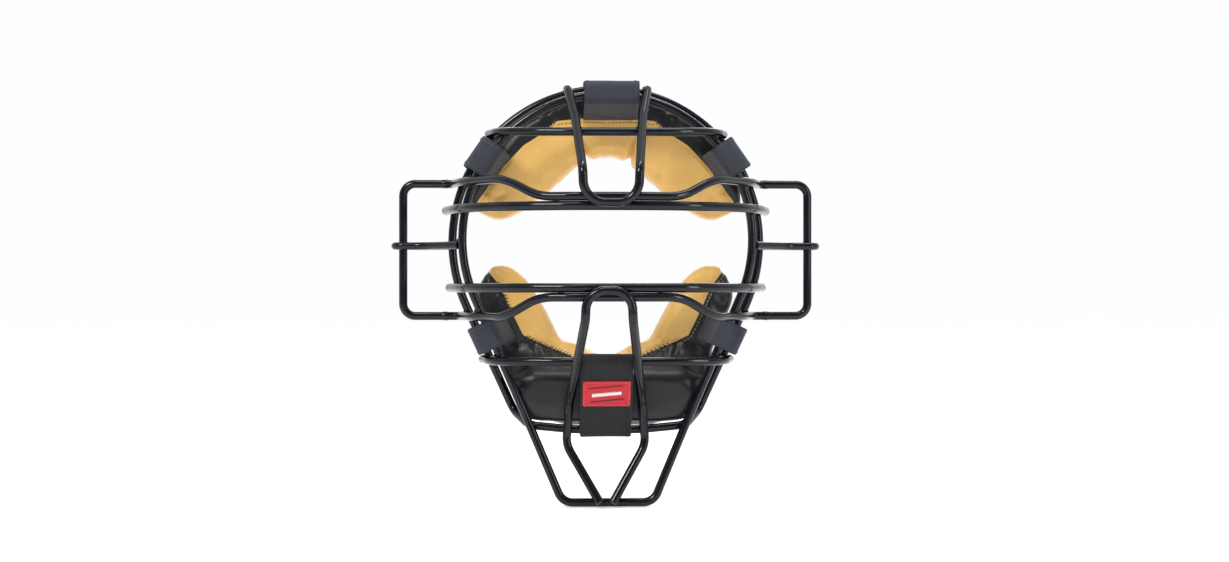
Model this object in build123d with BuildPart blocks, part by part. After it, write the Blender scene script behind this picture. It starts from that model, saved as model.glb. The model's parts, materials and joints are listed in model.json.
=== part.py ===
from build123d import *
import math
import os

# Baseball catcher's mask: a welded cage of coated wire, two foam pads behind it, and six
# hook-and-loop tabs that hold the pads on the cage.
#
# Frame: millimetres, +Z up and -Y forwards, away from the wearer's face. X = 0 is the plane
# of symmetry and Y = 0 is the plane of the rear ring. Z = 0 is the height of the lower eye bar.

# ---------------------------------------------------------------- driving dimensions
RING_WIRE = 6.2             # diameter of the ring, wing and ear guard wires
EYE_WIRE = 6.6              # diameter of the two eye bars
LOOP_WIRE = 6.4             # diameter of the forehead and nose loops
STRUT_WIRE = 5.6            # diameter of the ear guard struts

RING_CENTRE_Z = 33.0        # centre of the rear ring's round part
REAR_RING_R = 113.5
FRONT_RING_R = 105.0
FRONT_RING_Z = 34.5         # centre of the front ring's round part
RING_GAP = 30.0             # from the rear ring forwards to the front ring
REAR_LEAN = 24.4            # degrees that the rear ring's straight legs lean in
FRONT_LEAN = 23.3           # degrees that the throat legs lean in
CHIN_Y = -24.0              # plane of the chin arc
CHIN_Z = -103.5             # height of the chin arc's middle
THROAT_Y = -38.0            # plane of the throat bar
THROAT_Z = -155.0           # height of the throat bar

EYE_FRONT_Y = -95.0         # foremost line of the eye bars
UPPER_EYE_Z = 56.2
LOWER_EYE_Z = -0.6
WING_STEP = 6.45            # from an eye bar to the wing bar welded beside it
UPPER_WING_Z = 76.2         # height of the upper wing bar's flat outer part
LOWER_WING_Z = -21.4
BROW_Z = 110.0
BROW_Y = -59.8
CHIN_BAR_Z = -53.2
CHIN_BAR_Y = -57.4
NOSE_SHIFT = -1.4           # the nose loop and the chin tab sit a little off the middle
LOOP_Y = -101.7             # plane in which both loops cross the doubled bars

GUARD_X = 150.0             # vertical bar of an ear guard
GUARD_Y = 4.0
GUARD_START_X = 118.4       # where the ear guard is butted to the wing bars
GUARD_BEND_R = 9.0
STRUT_Z = 30.2

PAD_FRONT_Y = 3.7           # the pads lie just behind the rear ring
PAD_BACK_Y = 38.0
PAD_INSET = 2.5             # the pads' outer wall, inside the rear ring's centre line
SKIN = 1.5                  # thickness of the vinyl cover and of the leather lining
COVER_DEPTH = 26.0          # how far back the vinyl covers the outer wall
SEAM_R = 94.5               # seam between vinyl and leather on the upper pad
BULGE_Y = -26.2             # front of the chin cup

TAB_THICK = 2.0
SIDE_TAB_WIDTH = 25.5
LOWER_TAB_WIDTH = 20.5
TOP_TAB_WIDTH = 40.0
TOP_TAB_SHIFT = 3.0         # the top tab sits a little to the wearer's left of the middle
CHIN_TAB_WIDTH = 37.0
SIDE_TAB_ANGLE = 34.2       # degrees above the horizontal of the two upper side tabs
LOWER_TAB_Z = -38.0         # height of the two lower side tabs
TAIL_LENGTH = 25.0
TAIL_GAP = 1.5              # from a tab's end to the fold that its tail turns about
LABEL_WIDTH = 34.0
LABEL_HEIGHT = 22.0
LABEL_THICK = 0.8

os.makedirs("parts", exist_ok=True)


# ---------------------------------------------------------------- helpers
def bend_radii(points):
    """One radius for each inner corner, as large as the two runs beside it allow."""
    radii = []
    for before, corner, after in zip(points, points[1:], points[2:]):
        run_in = Vector(*corner) - Vector(*before)
        run_out = Vector(*after) - Vector(*corner)
        turn = math.radians(run_in.get_angle(run_out))
        shorter = min(run_in.length, run_out.length)
        radii.append(0.45 * shorter / math.tan(turn / 2))
    return radii


def bent_wire(points, diameter, radii=None):
    """A round wire bent through a row of points."""
    with BuildPart() as wire:
        with BuildLine() as path:
            FilletPolyline(*points, radius=radii or bend_radii(points))
        with BuildSketch(Plane(origin=path.line @ 0, z_dir=path.line % 0)):
            Circle(diameter / 2)
        sweep(path=path.line)
    return wire.part


def symmetric_row(half):
    """A row of points from end to end, from the half that starts at the plane of symmetry."""
    return [(-x, y, z) for x, y, z in reversed(half)] + half


def bent_strap(points, radii, width, width_direction):
    """A flat strap of one thickness that follows a row of points."""
    with BuildPart() as strap:
        with BuildLine() as path:
            FilletPolyline(*points, radius=radii)
        start = Plane(origin=path.line @ 0, x_dir=width_direction, z_dir=path.line % 0)
        with BuildSketch(start):
            Rectangle(width, TAB_THICK)
        sweep(path=path.line)
    return strap.part


def save(node, name):
    """Label a node and write its STEP file."""
    node.part.label = name
    export_step(node.part, f"parts/{name}.step")


def leg_x(centre_z, radius, lean, z):
    """Half width of a ring's straight leg at height z."""
    lean_rad = math.radians(lean)
    tangent_z = centre_z - radius * math.sin(lean_rad)
    return radius * math.cos(lean_rad) - (tangent_z - z) * math.tan(lean_rad)


def arc_x(centre_z, radius, z):
    """Half width of a ring's round part at height z."""
    return math.sqrt(radius ** 2 - (z - centre_z) ** 2)


# ---------------------------------------------------------------- front ring and throat guard
# One closed wire: round over the top, then down both sides as the throat guard's legs.
front_tangent = math.radians(FRONT_LEAN)
front_tangent_x = FRONT_RING_R * math.cos(front_tangent)
front_tangent_z = FRONT_RING_Z - FRONT_RING_R * math.sin(front_tangent)
knee_z = -96.0              # the legs lean forwards below this height
knee_x = leg_x(FRONT_RING_Z, FRONT_RING_R, FRONT_LEAN, knee_z)
throat_x = leg_x(FRONT_RING_Z, FRONT_RING_R, FRONT_LEAN, THROAT_Z)

with BuildPart() as front_ring:
    with BuildLine() as front_path:
        ThreePointArc(
            (0, -RING_GAP, FRONT_RING_Z + FRONT_RING_R),
            (
                FRONT_RING_R * math.cos(math.radians(33)),
                -RING_GAP,
                FRONT_RING_Z + FRONT_RING_R * math.sin(math.radians(33)),
            ),
            (front_tangent_x, -RING_GAP, front_tangent_z),
        )
        FilletPolyline(
            (front_tangent_x, -RING_GAP, front_tangent_z),
            (knee_x, -RING_GAP, knee_z),
            (throat_x, THROAT_Y, THROAT_Z),
            (0, THROAT_Y, THROAT_Z),
            radius=[60, 11],
        )
    with BuildSketch(Plane(origin=front_path.line @ 0, z_dir=front_path.line % 0)):
        Circle(RING_WIRE / 2)
    sweep(path=front_path.line)
    mirror(about=Plane.YZ)
save(front_ring, "front_ring")

# ---------------------------------------------------------------- rear ring and chin arc
rear_tangent = math.radians(REAR_LEAN)
rear_tangent_x = REAR_RING_R * math.cos(rear_tangent)
rear_tangent_z = RING_CENTRE_Z - REAR_RING_R * math.sin(rear_tangent)
bend_z = -91.5              # the straight legs turn forwards and inwards here
bend_x = leg_x(RING_CENTRE_Z, REAR_RING_R, REAR_LEAN, bend_z)

with BuildPart() as rear_ring:
    with BuildLine() as rear_path:
        ThreePointArc(
            (0, 0, RING_CENTRE_Z + REAR_RING_R),
            (
                REAR_RING_R * math.cos(math.radians(33)),
                0,
                RING_CENTRE_Z + REAR_RING_R * math.sin(math.radians(33)),
            ),
            (rear_tangent_x, 0, rear_tangent_z),
        )
        FilletPolyline(
            (rear_tangent_x, 0, rear_tangent_z),
            (bend_x, 0, bend_z),
            (57.0, CHIN_Y, CHIN_Z + 3.2),
            (24.0, CHIN_Y, CHIN_Z),
            (0, CHIN_Y, CHIN_Z),
            radius=[11, 11, 90],
        )
    with BuildSketch(Plane(origin=rear_path.line @ 0, z_dir=rear_path.line % 0)):
        Circle(RING_WIRE / 2)
    sweep(path=rear_path.line)
    mirror(about=Plane.YZ)
save(rear_ring, "rear_ring")

# ---------------------------------------------------------------- eye bars
# Each bar bows forwards across the face and turns back outside both rings.
ring_touch = (RING_WIRE + EYE_WIRE) / 2 + 0.8


def eye_bar_points(z):
    """Half of an eye bar, from its straight middle to its end outside the rear ring."""
    front_x = arc_x(FRONT_RING_Z, FRONT_RING_R, z) + ring_touch
    rear_x = arc_x(RING_CENTRE_Z, REAR_RING_R, z) + ring_touch
    return [
        (28, EYE_FRONT_Y, z),
        (66, -84, z),
        (front_x - 11, -57, z),
        (front_x + 0.8, -RING_GAP, z),
        (rear_x, RING_WIRE / 2, z),
    ]


with BuildPart() as upper_eye_bar:
    add(bent_wire(symmetric_row(eye_bar_points(UPPER_EYE_Z)), EYE_WIRE))
save(upper_eye_bar, "upper_eye_bar")

with BuildPart() as lower_eye_bar:
    add(bent_wire(symmetric_row(eye_bar_points(LOWER_EYE_Z)), EYE_WIRE))
save(lower_eye_bar, "lower_eye_bar")


# ---------------------------------------------------------------- wing bars
# Each runs beside an eye bar in the middle, spreads up or down to its flat outer part,
# goes back past both rings and turns out to the ear guard.
def wing_bar_points(middle_z, flat_z, front_x, rear_x):
    """Half of a wing bar, from its straight middle to the butt weld at the ear guard."""
    return [
        (28, EYE_FRONT_Y, middle_z),
        (50, -88.6, middle_z),
        (74, -72, flat_z),
        (front_x - 3, -RING_GAP - 14, flat_z),
        (front_x + 8.2, -RING_GAP + 1, flat_z),
        (rear_x + 8.3, GUARD_Y, flat_z),
        (GUARD_START_X, GUARD_Y, flat_z),
    ]


upper_wing_points = wing_bar_points(
    UPPER_EYE_Z + WING_STEP,
    UPPER_WING_Z,
    arc_x(FRONT_RING_Z, FRONT_RING_R, UPPER_WING_Z),
    arc_x(RING_CENTRE_Z, REAR_RING_R, UPPER_WING_Z),
)
with BuildPart() as upper_wing_bar:
    add(bent_wire(symmetric_row(upper_wing_points), RING_WIRE))
save(upper_wing_bar, "upper_wing_bar")

lower_wing_points = wing_bar_points(
    LOWER_EYE_Z - WING_STEP,
    LOWER_WING_Z,
    leg_x(FRONT_RING_Z, FRONT_RING_R, FRONT_LEAN, LOWER_WING_Z),
    leg_x(RING_CENTRE_Z, REAR_RING_R, REAR_LEAN, LOWER_WING_Z),
)
with BuildPart() as lower_wing_bar:
    add(bent_wire(symmetric_row(lower_wing_points), RING_WIRE))
save(lower_wing_bar, "lower_wing_bar")

# ---------------------------------------------------------------- ear guards and their struts
guard_gap = 0.2             # the butt weld between a wing bar and an ear guard
guard_points = [
    (GUARD_START_X + guard_gap, GUARD_Y, UPPER_WING_Z),
    (GUARD_X, GUARD_Y, UPPER_WING_Z),
    (GUARD_X, GUARD_Y, LOWER_WING_Z),
    (GUARD_START_X + guard_gap, GUARD_Y, LOWER_WING_Z),
]
strut_wrap = (RING_WIRE + STRUT_WIRE) / 2 + 0.05
strut_front_x = arc_x(FRONT_RING_Z, FRONT_RING_R, STRUT_Z) + RING_WIRE / 2 + 0.4
strut_rear_x = arc_x(RING_CENTRE_Z, REAR_RING_R, STRUT_Z) + RING_WIRE / 2 + 0.4
strut_points = [
    (strut_front_x, -RING_GAP + 2.0, STRUT_Z),
    (GUARD_X - 16, GUARD_Y - strut_wrap - 1.5, STRUT_Z),
    (GUARD_X + strut_wrap, GUARD_Y - strut_wrap, STRUT_Z),
    (GUARD_X + strut_wrap, GUARD_Y + strut_wrap, STRUT_Z),
    (GUARD_X - 14, GUARD_Y + strut_wrap, STRUT_Z),
    (strut_rear_x, 1.0, STRUT_Z),
]
hairpin_r = strut_wrap - 0.1
strut_radii = [18, hairpin_r, hairpin_r, 18]

with BuildPart() as right_ear_guard:
    add(bent_wire(guard_points, RING_WIRE, [GUARD_BEND_R, GUARD_BEND_R]))
save(right_ear_guard, "right_ear_guard")

with BuildPart() as left_ear_guard:
    mirror(right_ear_guard.part, about=Plane.YZ)
save(left_ear_guard, "left_ear_guard")

with BuildPart() as right_ear_strut:
    add(bent_wire(strut_points, STRUT_WIRE, strut_radii))
save(right_ear_strut, "right_ear_strut")

with BuildPart() as left_ear_strut:
    mirror(right_ear_strut.part, about=Plane.YZ)
save(left_ear_strut, "left_ear_strut")

# ---------------------------------------------------------------- brow bar and chin bar
brow_points = [
    (24, BROW_Y + 0.6, BROW_Z),
    (52, -52.5, BROW_Z + 0.6),
    (78.5, -38.5, BROW_Z + 1.6),
    (86.5, -5.5, BROW_Z + 2.4),
]
with BuildPart() as brow_bar:
    add(bent_wire(symmetric_row(brow_points), RING_WIRE))
save(brow_bar, "brow_bar")

chin_points = [
    (24, CHIN_BAR_Y + 0.6, CHIN_BAR_Z),
    (54, -52.0, CHIN_BAR_Z),
    (83.5, -39, CHIN_BAR_Z),
    (91, -5.5, CHIN_BAR_Z + 0.2),
]
with BuildPart() as chin_bar:
    add(bent_wire(symmetric_row(chin_points), RING_WIRE))
save(chin_bar, "chin_bar")

# ---------------------------------------------------------------- forehead loop
forehead_half = [
    (29.2, -5.0, 145.6),
    (28.8, -31, 143.4),
    (24.2, -54, 122.0),
    (19.6, LOOP_Y, 81.0),
    (18.8, LOOP_Y, 58.4),
]
forehead_points = forehead_half + [(-x, y, z) for x, y, z in reversed(forehead_half)]
with BuildPart() as forehead_loop:
    add(bent_wire(forehead_points, LOOP_WIRE, [12, 40, 11, 15, 15, 11, 40, 12]))
save(forehead_loop, "forehead_loop")

# ---------------------------------------------------------------- nose loop
# An upside-down U over the lower bars, whose legs go down in front of the chin bar and the
# chin arc and draw together on the throat bar.
nose_half = [
    (4.9, THROAT_Y - 6.4, THROAT_Z + 0.8),
    (28.6, CHIN_Y - 6.4, -114.0),
    (26.6, CHIN_Y - 6.4, -85.5),
    (16.4, LOOP_Y, -23.0),
    (15.6, LOOP_Y, -2.6),
]
nose_points = nose_half + [(-x, y, z) for x, y, z in reversed(nose_half)]
nose_points = [(x + NOSE_SHIFT, y, z) for x, y, z in nose_points]
with BuildPart() as nose_loop:
    add(bent_wire(nose_points, LOOP_WIRE, [18, 14, 9, 13.5, 13.5, 9, 14, 18]))
save(nose_loop, "nose_loop")

# ---------------------------------------------------------------- upper pad
# An arch over the forehead from temple to temple: a foam core between a vinyl cover,
# which is the front and the outer wall, and a leather lining, which faces the wearer.
pad_r = REAR_RING_R - PAD_INSET
pad_depth = PAD_BACK_Y - PAD_FRONT_Y
pad_leg_top = (pad_r * math.cos(rear_tangent), RING_CENTRE_Z - pad_r * math.sin(rear_tangent))
pad_leg_end = (leg_x(RING_CENTRE_Z, REAR_RING_R, REAR_LEAN, -52.0) - 3.2, -52.0)


def rounded_outline(half, inset, radius, depth):
    """A mirrored polygon in the XZ plane at Y = depth, drawn in by inset and rounded."""
    outline_points = half + [(-x, z) for x, z in reversed(half) if x]
    with BuildSketch(Plane.XZ.offset(-depth)) as outline:
        Polygon(*outline_points, align=None)
        if inset:
            offset(amount=-inset, kind=Kind.INTERSECTION)
        fillet(outline.vertices(), radius)
    return outline.sketch


upper_half = [(13, 91), (41, 70.5), (68, 54.5), (84, 48.5), (97, 55), (125, 80), (125, 165)]
lower_half = [
    (44, -99.8),
    (60, -92),
    pad_leg_end,
    pad_leg_top,
    (pad_leg_top[0] + 0.5, -4),
    (90, 16.5),
    (76, 17.5),
    (63, 7),
    (50, -11.5),
    (34, -35.5),
    (22, -38.5),
    (6, -49.5),
]
bulge_half = [(38, -98), (53, -95.2), (60.5, -84), (66.5, -63), (57, -54), (24, -58)]
FORWARDS = (0, -1, 0)


def upper_pad_block(inset):
    """The upper pad's solid, drawn in from its outline by inset on every side."""
    with BuildPart() as block:
        with Locations((0, PAD_FRONT_Y + inset, RING_CENTRE_Z)):
            Cylinder(
                pad_r - inset,
                pad_depth - 2 * inset,
                rotation=(-90, 0, 0),
                align=(Align.CENTER, Align.CENTER, Align.MIN),
            )
        add(rounded_outline(upper_half, inset, 9, PAD_BACK_Y - inset))
        extrude(amount=pad_depth - 2 * inset, dir=FORWARDS, mode=Mode.INTERSECT)
    return block.part


with BuildPart() as upper_pad_foam:
    add(upper_pad_block(SKIN))
save(upper_pad_foam, "upper_pad_foam")

with BuildPart() as upper_pad_cover:
    add(upper_pad_block(0))
    add(upper_pad_foam.part, mode=Mode.SUBTRACT)
    with BuildSketch(Plane.XZ.offset(-PAD_BACK_Y)):
        with Locations((0, RING_CENTRE_Z)):
            Circle(SEAM_R)
    extrude(amount=pad_depth, mode=Mode.SUBTRACT)
    with BuildSketch(Plane.XZ.offset(-PAD_BACK_Y)):
        with Locations((0, RING_CENTRE_Z)):
            Circle(REAR_RING_R * 1.2)
    extrude(amount=pad_depth - COVER_DEPTH, mode=Mode.SUBTRACT)
save(upper_pad_cover, "upper_pad_cover")

with BuildPart() as upper_pad_lining:
    add(upper_pad_block(0))
    add(upper_pad_foam.part, mode=Mode.SUBTRACT)
    add(upper_pad_cover.part, mode=Mode.SUBTRACT)
save(upper_pad_lining, "upper_pad_lining")

# ---------------------------------------------------------------- lower pad
# A U of two cheeks and a chin cup. The chin cup bulges forwards between the throat legs.
bulge_back = PAD_FRONT_Y + 2 * SKIN


def lower_pad_block(inset):
    """The lower pad's solid, drawn in from its outline by inset on every side."""
    with BuildPart() as block:
        add(rounded_outline(lower_half, inset, 6, PAD_BACK_Y - inset))
        extrude(amount=pad_depth - 2 * inset, dir=FORWARDS)
        add(rounded_outline(bulge_half, inset, 6, bulge_back))
        extrude(amount=bulge_back - BULGE_Y - inset, dir=FORWARDS)
    return block.part


with BuildPart() as lower_pad_foam:
    add(lower_pad_block(SKIN))
save(lower_pad_foam, "lower_pad_foam")

with BuildPart() as lining_zone:
    with BuildSketch(Plane.XZ.offset(-PAD_BACK_Y)):
        with BuildLine():
            Polyline((0, -55.5), (26, -54), (42, -46), (61, -36), (67.5, -23.7))
            Polyline((67.5, -23.7), (75.5, -6), (81, 3.7), (92, 25), (92, 40), (0, 40), (0, -55.5))
        make_face()
        mirror(about=Plane.YZ)
    extrude(amount=pad_depth + 60)
    with BuildSketch(Plane.XZ.offset(-PAD_BACK_Y)):
        Rectangle(300, 300)
    extrude(amount=pad_depth - COVER_DEPTH)

with BuildPart() as lower_pad_cover:
    add(lower_pad_block(0))
    add(lower_pad_foam.part, mode=Mode.SUBTRACT)
    add(lining_zone.part, mode=Mode.SUBTRACT)
save(lower_pad_cover, "lower_pad_cover")

with BuildPart() as lower_pad_lining:
    add(lower_pad_block(0))
    add(lower_pad_foam.part, mode=Mode.SUBTRACT)
    add(lower_pad_cover.part, mode=Mode.SUBTRACT)
save(lower_pad_lining, "lower_pad_lining")


# ---------------------------------------------------------------- side and top tabs
# Each tab is sewn to its pad's front seam, goes forwards and squarely round the front ring,
# back outside both rings, and ends at the fold. Its tail turns about the fold and lies on the
# pad's wall.
def tab_place(foot, outward):
    """Maps (outward distance, Y) beside a rear ring point to a point of the model."""
    def place(out, y):
        return (foot[0] + out * outward[0], y, foot[1] + out * outward[1])
    return place


def tail_plate(fold, direction, width_direction, width):
    """A flat tail with a round edge at the fold and a free end."""
    along = Vector(*direction).normalized()
    across = Vector(*width_direction).normalized()
    face = Plane(origin=fold, x_dir=along, z_dir=across)
    with BuildPart() as tail:
        with BuildSketch(face):
            with Locations((TAIL_LENGTH / 2, 0)):
                Rectangle(TAIL_LENGTH, TAB_THICK)
            Circle(TAB_THICK / 2)
        extrude(amount=width / 2, both=True)
    return tail.part


angle = math.radians(SIDE_TAB_ANGLE)
lean = math.radians(REAR_LEAN)
tab_feet = {
    "upper": {
        "foot": (REAR_RING_R * math.cos(angle), RING_CENTRE_Z + REAR_RING_R * math.sin(angle)),
        "outward": (math.cos(angle), math.sin(angle)),
        "seam": -18.5,
        "front_in": (-13.6, -35.2),
        "front_out": (2.6, -35.6),
        "width": SIDE_TAB_WIDTH,
    },
    "lower": {
        "foot": (leg_x(RING_CENTRE_Z, REAR_RING_R, REAR_LEAN, LOWER_TAB_Z), LOWER_TAB_Z),
        "outward": (math.cos(lean), -math.sin(lean)),
        "seam": -22.5,
        "front_in": (-13.8, -35.2),
        "front_out": (4.4, -35.6),
        "width": LOWER_TAB_WIDTH,
    },
    "top": {
        "foot": (TOP_TAB_SHIFT, RING_CENTRE_Z + REAR_RING_R),
        "outward": (0, 1),
        "seam": -22.0,
        "front_in": (-13.0, -35.8),
        "front_out": (1.6, -36.0),
        "width": TOP_TAB_WIDTH,
    },
}
SHOULDER = (4.75, -0.2)     # outer corner of a tab beside the rear ring: outward, Y
FOLD = (4.2, 3.2)           # the line that a tail turns about: outward, Y
TAIL_REST = (-0.17, 0.98)   # direction of a closed tail: outward, Y

tab_parts = {}
tail_parts = {}
for key, tab in tab_feet.items():
    place = tab_place(tab["foot"], tab["outward"])
    out_x, out_z = tab["outward"]
    across = (-out_z, 0, out_x)
    strap_end = Vector(*SHOULDER) + (Vector(*FOLD) - Vector(*SHOULDER)).normalized() * (
        math.dist(SHOULDER, FOLD) - TAIL_GAP
    )
    strap_points = [
        place(tab["seam"], PAD_FRONT_Y - TAB_THICK / 2 - 0.3),
        place(*tab["front_in"]),
        place(*tab["front_out"]),
        place(*SHOULDER),
        place(strap_end.X, strap_end.Y),
    ]
    tab_parts[key] = bent_strap(strap_points, [4.2, 4.2, 4.5], tab["width"], across)
    tail_direction = (TAIL_REST[0] * out_x, TAIL_REST[1], TAIL_REST[0] * out_z)
    tail_parts[key] = tail_plate(place(*FOLD), tail_direction, across, tab["width"] - 1)

with BuildPart() as top_tab:
    add(tab_parts["top"])
save(top_tab, "top_tab")

with BuildPart() as top_tab_tail:
    add(tail_parts["top"])
save(top_tab_tail, "top_tab_tail")

for key in ("upper", "lower"):
    with BuildPart() as right_tab:
        add(tab_parts[key])
    save(right_tab, f"{key}_right_tab")
    with BuildPart() as left_tab:
        mirror(tab_parts[key], about=Plane.YZ)
    save(left_tab, f"{key}_left_tab")
    with BuildPart() as right_tail:
        add(tail_parts[key])
    save(right_tail, f"{key}_right_tab_tail")
    with BuildPart() as left_tail:
        mirror(tail_parts[key], about=Plane.YZ)
    save(left_tail, f"{key}_left_tab_tail")

# ---------------------------------------------------------------- chin tab
# Sewn to the chin cup behind the chin bar, it goes over the bar, down in front between the
# nose loop's legs and under the chin arc. Its tail lies under the chin cup.
chin_fold = (NOSE_SHIFT, -20.6, -107.5)
chin_corner = (NOSE_SHIFT, -26.1, -108.5)
chin_crest = (NOSE_SHIFT, -69.4, -44.2)
chin_tail_direction = Vector(0, 0.98, 0.2)
chin_strap_end = Vector(*chin_fold) - chin_tail_direction.normalized() * TAIL_GAP
chin_strap_points = [
    (NOSE_SHIFT, BULGE_Y - TAB_THICK / 2 - 0.3, -76),
    (NOSE_SHIFT, BULGE_Y - TAB_THICK / 2 - 0.3, -58.5),
    chin_crest,
    chin_corner,
    tuple(chin_strap_end),
]
with BuildPart() as chin_tab:
    add(bent_strap(chin_strap_points, [4, 4.4, 4.3], CHIN_TAB_WIDTH, (1, 0, 0)))
save(chin_tab, "chin_tab")

with BuildPart() as chin_tab_tail:
    add(tail_plate(chin_fold, tuple(chin_tail_direction), (1, 0, 0), CHIN_TAB_WIDTH - 1))
save(chin_tab_tail, "chin_tab_tail")

# A sewn label on the chin tab's front face.
label_up = (Vector(*chin_crest) - Vector(*chin_corner)).normalized()
label_out = Vector(1, 0, 0).cross(label_up)
label_foot = Vector(*chin_corner) + label_up * 40 + label_out * (TAB_THICK / 2)
with BuildPart() as chin_label:
    with BuildSketch(Plane(origin=label_foot, x_dir=(1, 0, 0), z_dir=label_out)):
        RectangleRounded(LABEL_WIDTH, LABEL_HEIGHT, 1)
    extrude(amount=LABEL_THICK)
save(chin_label, "chin_label")
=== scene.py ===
import json
import math

import bmesh
import bpy
import numpy as np
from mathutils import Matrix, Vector, noise
from mathutils.bvhtree import BVHTree
from mathutils.kdtree import KDTree


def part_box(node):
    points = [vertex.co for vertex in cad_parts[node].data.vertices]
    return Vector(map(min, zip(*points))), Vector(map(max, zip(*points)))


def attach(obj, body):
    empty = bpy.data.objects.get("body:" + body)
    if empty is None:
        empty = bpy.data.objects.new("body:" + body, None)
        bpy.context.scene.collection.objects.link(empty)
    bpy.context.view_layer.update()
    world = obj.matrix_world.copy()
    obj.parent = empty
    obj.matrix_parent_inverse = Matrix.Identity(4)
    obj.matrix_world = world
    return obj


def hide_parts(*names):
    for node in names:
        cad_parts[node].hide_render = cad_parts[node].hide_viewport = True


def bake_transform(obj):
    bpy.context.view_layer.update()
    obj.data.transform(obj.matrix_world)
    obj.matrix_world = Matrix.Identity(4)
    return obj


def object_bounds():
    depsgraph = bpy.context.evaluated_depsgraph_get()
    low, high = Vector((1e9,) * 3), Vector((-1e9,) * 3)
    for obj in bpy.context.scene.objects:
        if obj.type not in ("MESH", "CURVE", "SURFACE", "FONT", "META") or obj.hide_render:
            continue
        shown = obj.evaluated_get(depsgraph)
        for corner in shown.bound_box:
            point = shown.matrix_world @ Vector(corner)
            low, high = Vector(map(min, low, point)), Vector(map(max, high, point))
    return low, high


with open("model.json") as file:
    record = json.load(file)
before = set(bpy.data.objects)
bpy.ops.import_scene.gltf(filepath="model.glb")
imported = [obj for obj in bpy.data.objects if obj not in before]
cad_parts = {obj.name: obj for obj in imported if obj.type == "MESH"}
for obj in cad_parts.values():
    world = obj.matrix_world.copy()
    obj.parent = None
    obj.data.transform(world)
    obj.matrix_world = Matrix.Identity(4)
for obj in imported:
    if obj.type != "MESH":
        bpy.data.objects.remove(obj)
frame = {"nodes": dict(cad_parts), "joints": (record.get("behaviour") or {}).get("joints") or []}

# Catcher's mask. Metres, +Z up, -Y forwards, the same frame as the CAD.
MM = 0.001
CAD_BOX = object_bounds()
NODES = frame["nodes"]
JOINTS = {joint["name"]: joint for joint in frame["joints"]}
scene = bpy.context.scene

RING_WIRES = ["front_ring", "rear_ring"]
BAR_WIRES = [
    "upper_eye_bar", "lower_eye_bar", "upper_wing_bar", "lower_wing_bar", "brow_bar",
    "chin_bar", "forehead_loop", "nose_loop",
]
GUARD_WIRES = ["left_ear_guard", "right_ear_guard", "left_ear_strut", "right_ear_strut"]
WIRES = RING_WIRES + BAR_WIRES + GUARD_WIRES

CAMERA_AWAY = 1.4  # the camera's distance from the mask
SENSOR = 36  # in mm
PICTURE_WIDTH = 1229  # in pixels
FOCAL_PIXELS = 1892  # focal length in pixels of that picture

TAB_THICK = 1.9  # in mm
SOFT_CAP = 4.5 * MM  # furthest that inflating may move a point of a pad
FINE_STEP = 1.7 * MM  # mesh size on which the pads are creased and cut
FOLD_OUT = 4.2  # the fold's distance outside the rear ring's centre line, in mm
HEM_INSET = 2.6  # from a tab's edge to its hem stitches, in mm
TAIL_LENGTH = 25.0  # in mm
CHIN_FRONT_Y = -27.5  # the chin tab's sewn end, on the chin cup's front
PADS_FRONT = 3.7  # Y of the pads' front, behind the rear ring, in mm
PAD_MIDDLE = 15  # Y between what counts as a pad's front and as its back
COVER_BACK = 29.7  # the leather begins here on the pads' outer walls
PAD_BACK = 39.5  # no pad goes further back
CHEEK_FRONT = 3.75  # nor further forward, apart from the chin cup
CHIN_FRONT = -26.0
RING_Z = 33.0  # height of the rear ring's centre
LEG_COS = math.cos(math.radians(24.4))  # the rear ring's straight legs lean in by 24.4 degrees
LEG_SIN = math.sin(math.radians(24.4))
WALL_LIMIT = 110.9  # furthest that a pad's outer wall may lie from the rear ring's centre
PASSING_LIMIT = 109.6  # the same where the lower pad passes through the rear ring's plane
CHEEK_REACH = 109.0  # how far out the lower pad's wall swells towards the ring's legs
ARCH_REACH = 109.8  # and the upper pad's wall towards the ring


def placed(name, data):
    """A new object in the scene."""
    made = bpy.data.objects.new(name, data)
    scene.collection.objects.link(made)
    return made


# ---- camera and studio
def softbox(name, place, size, energy, colour=(1, 1, 1)):
    """A rectangular light, pointed at the origin."""
    light = bpy.data.lights.new(name, "AREA")
    light.shape = "RECTANGLE"
    light.size, light.size_y = size
    light.energy = energy
    light.color = colour
    holder = placed(name, light)
    holder.location = place
    holder.rotation_euler = (-Vector(place)).to_track_quat("-Z", "Y").to_euler()


camera_data = bpy.data.cameras.new("camera")
camera = placed("camera", camera_data)
camera_data.sensor_width = SENSOR
camera_data.lens = SENSOR * FOCAL_PIXELS / PICTURE_WIDTH
camera_data.shift_x = 8.3 / PICTURE_WIDTH
camera_data.shift_y = 6 / PICTURE_WIDTH
camera_turn = math.radians(-2)
camera.location = (CAMERA_AWAY * math.sin(camera_turn), -CAMERA_AWAY * math.cos(camera_turn), 0)
camera.rotation_euler = (math.radians(90), 0, camera_turn)
scene.camera = camera
scene.view_settings.view_transform = "Standard"

softbox("key_light", (-0.85, -1.3, 1.25), (0.55, 0.4), 24, (1.0, 0.99, 0.97))
softbox("fill_light", (1.3, -1.1, 0.45), (0.3, 0.9), 9, (0.95, 0.97, 1.0))
softbox("top_light", (0.15, -0.2, 1.5), (1.2, 0.3), 13)
softbox("rear_light", (0.2, 1.6, 0.9), (1.0, 0.6), 7)


# ---- materials
def new_node(tree, kind, inputs=None, **settings):
    """A shader node, with each of the named inputs set to a value or linked to a socket."""
    made = tree.nodes.new(kind)
    for key, value in settings.items():
        setattr(made, key, value)
    for key, value in (inputs or {}).items():
        if isinstance(value, bpy.types.NodeSocket):
            tree.links.new(value, made.inputs[key])
        else:
            made.inputs[key].default_value = value
    return made


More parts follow.
